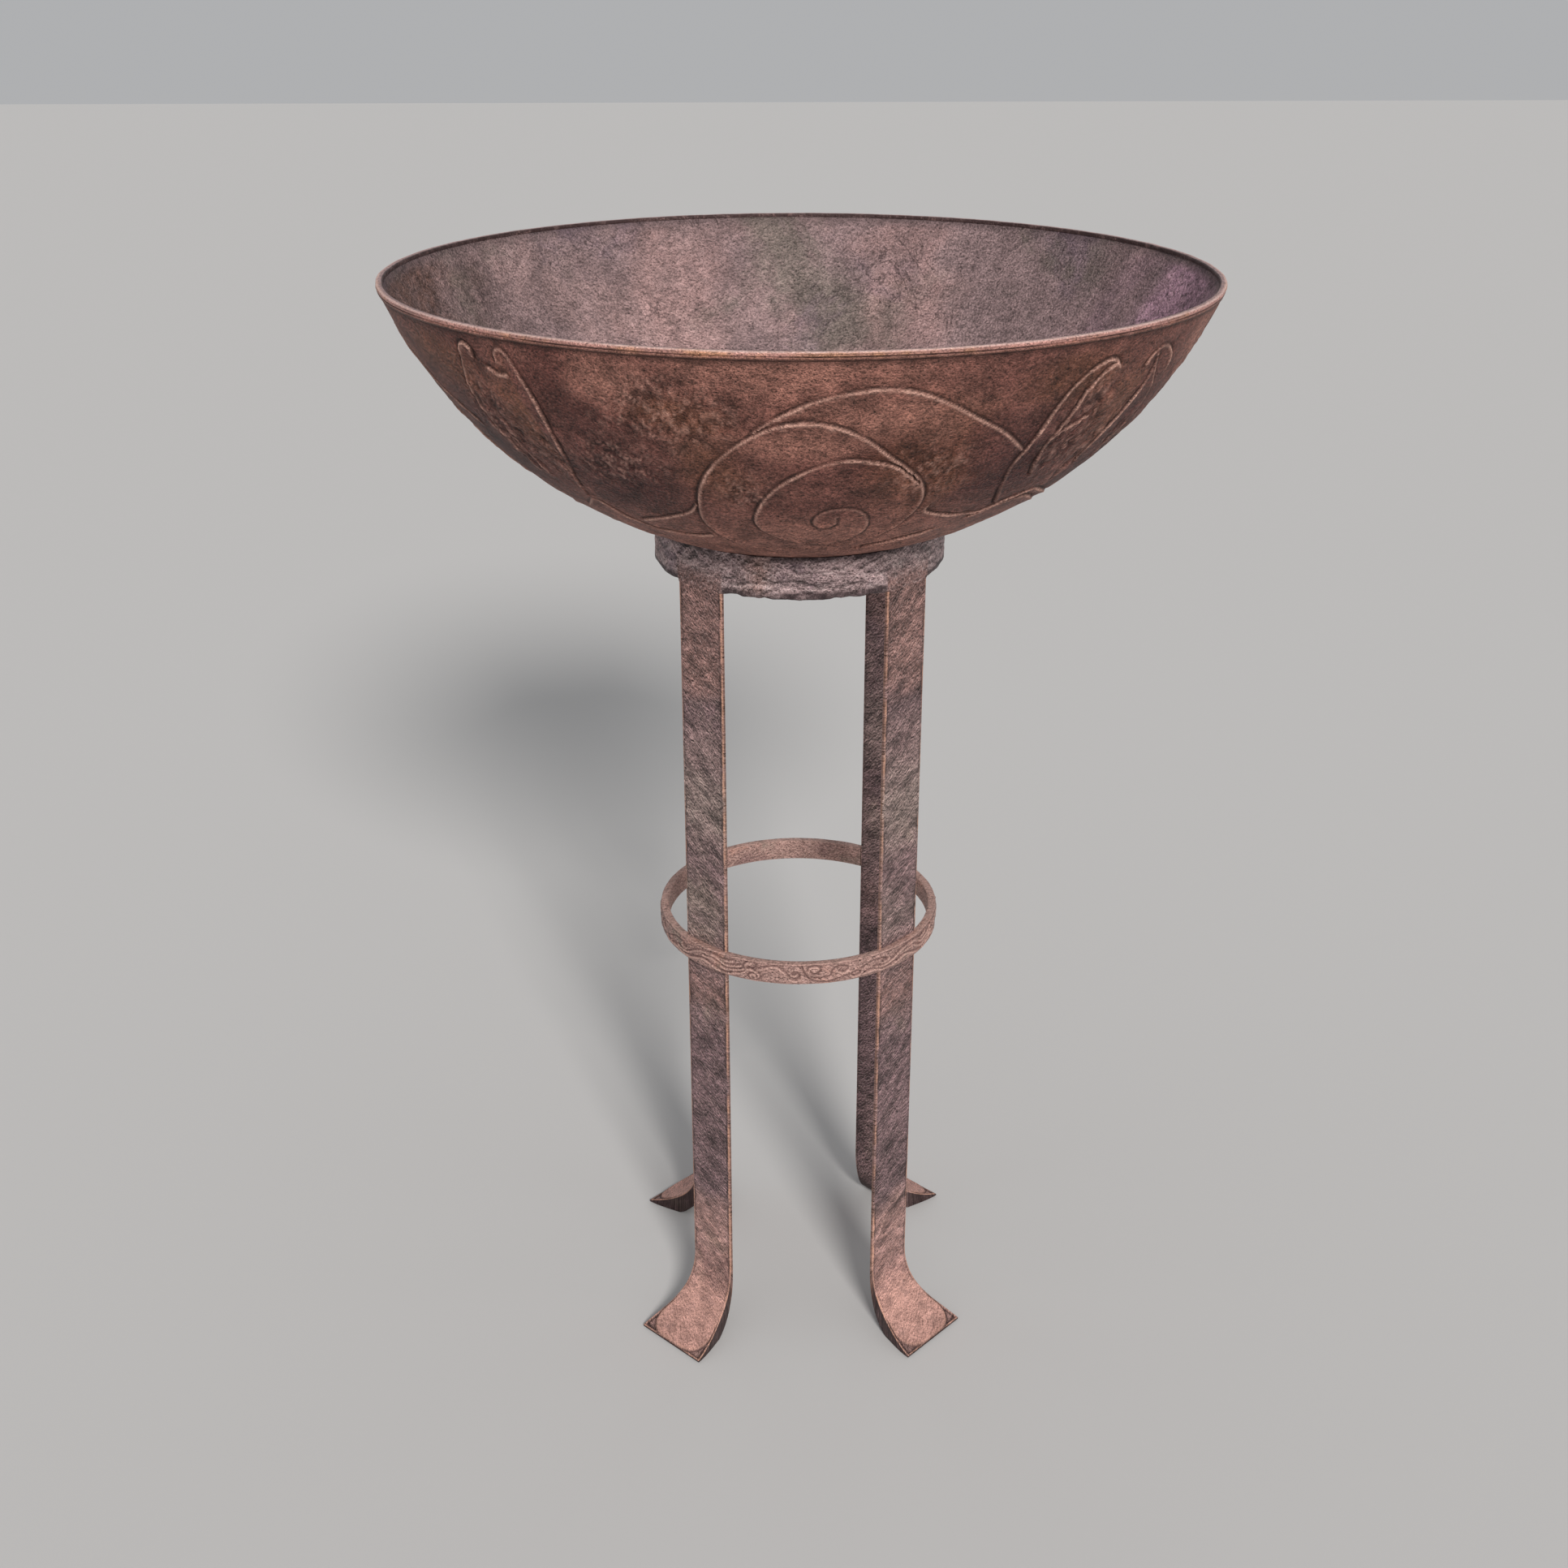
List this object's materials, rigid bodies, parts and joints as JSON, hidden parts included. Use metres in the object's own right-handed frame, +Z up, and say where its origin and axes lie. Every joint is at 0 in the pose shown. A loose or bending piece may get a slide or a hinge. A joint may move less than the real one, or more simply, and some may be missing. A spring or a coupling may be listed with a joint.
{
  "type": "coal forge",
  "caption": "Standing fire bowl hearth for burning coal, with a lift-out grate and a swinging ash gate, carried in a forged stand with spread feet.",
  "frame": {"origin": "bottom centre: on the floor, on the upright axis through the middle of the bowl and the stand", "axes": "+Z up along the bowl's axis, -Y towards the front between two legs, +X to the right; the legs stand on the diagonals"},
  "size_m": [0.5507, 0.5508, 0.805],
  "materials": {
    "bowl_copper": "hammered and chased, dark reddish brown patina",
    "rim_copper": "worn bright copper",
    "collar_metal": "hammered, grey-mauve oxide",
    "leg_metal": "hammered flat bar, mauve brown oxide",
    "hoop_copper": "worn pinkish copper with relief",
    "hearth_iron": "sooty cast iron",
    "pin_steel": "dull forged steel"
  },
  "bodies": {
    "stand": {"collar_ring": "collar_metal", "leg_front_left": "leg_metal", "leg_front_right": "leg_metal", "leg_back_left": "leg_metal", "leg_back_right": "leg_metal", "brace_ring": "hoop_copper", "collar_rivets": "leg_metal", "brace_rivets": "hoop_copper"},
    "bowl": {"fire_bowl": "bowl_copper", "rim_band": "rim_copper", "air_throat": "hearth_iron", "throat_rivets": "hearth_iron", "gate_pivot": "pin_steel", "gate_stop": "pin_steel"},
    "grate": {"fire_grate": "hearth_iron"},
    "gate": {"ash_gate": "hearth_iron"}
  },
  "joints": [
    {"name": "bowl_lift", "type": "slide", "parent": "stand", "child": "bowl", "axis": [0, 0, 1], "range_m": [0, 0.15]},
    {"name": "grate_lift", "type": "slide", "parent": "bowl", "child": "grate", "axis": [0, 0, 1], "range_m": [0, 0.18]},
    {"name": "gate_swing", "type": "hinge", "parent": "bowl", "child": "gate", "pos_m": [0, 0.046, 0.612], "axis": [0, 0, 1], "range_deg": [0, 75]}
  ]
}
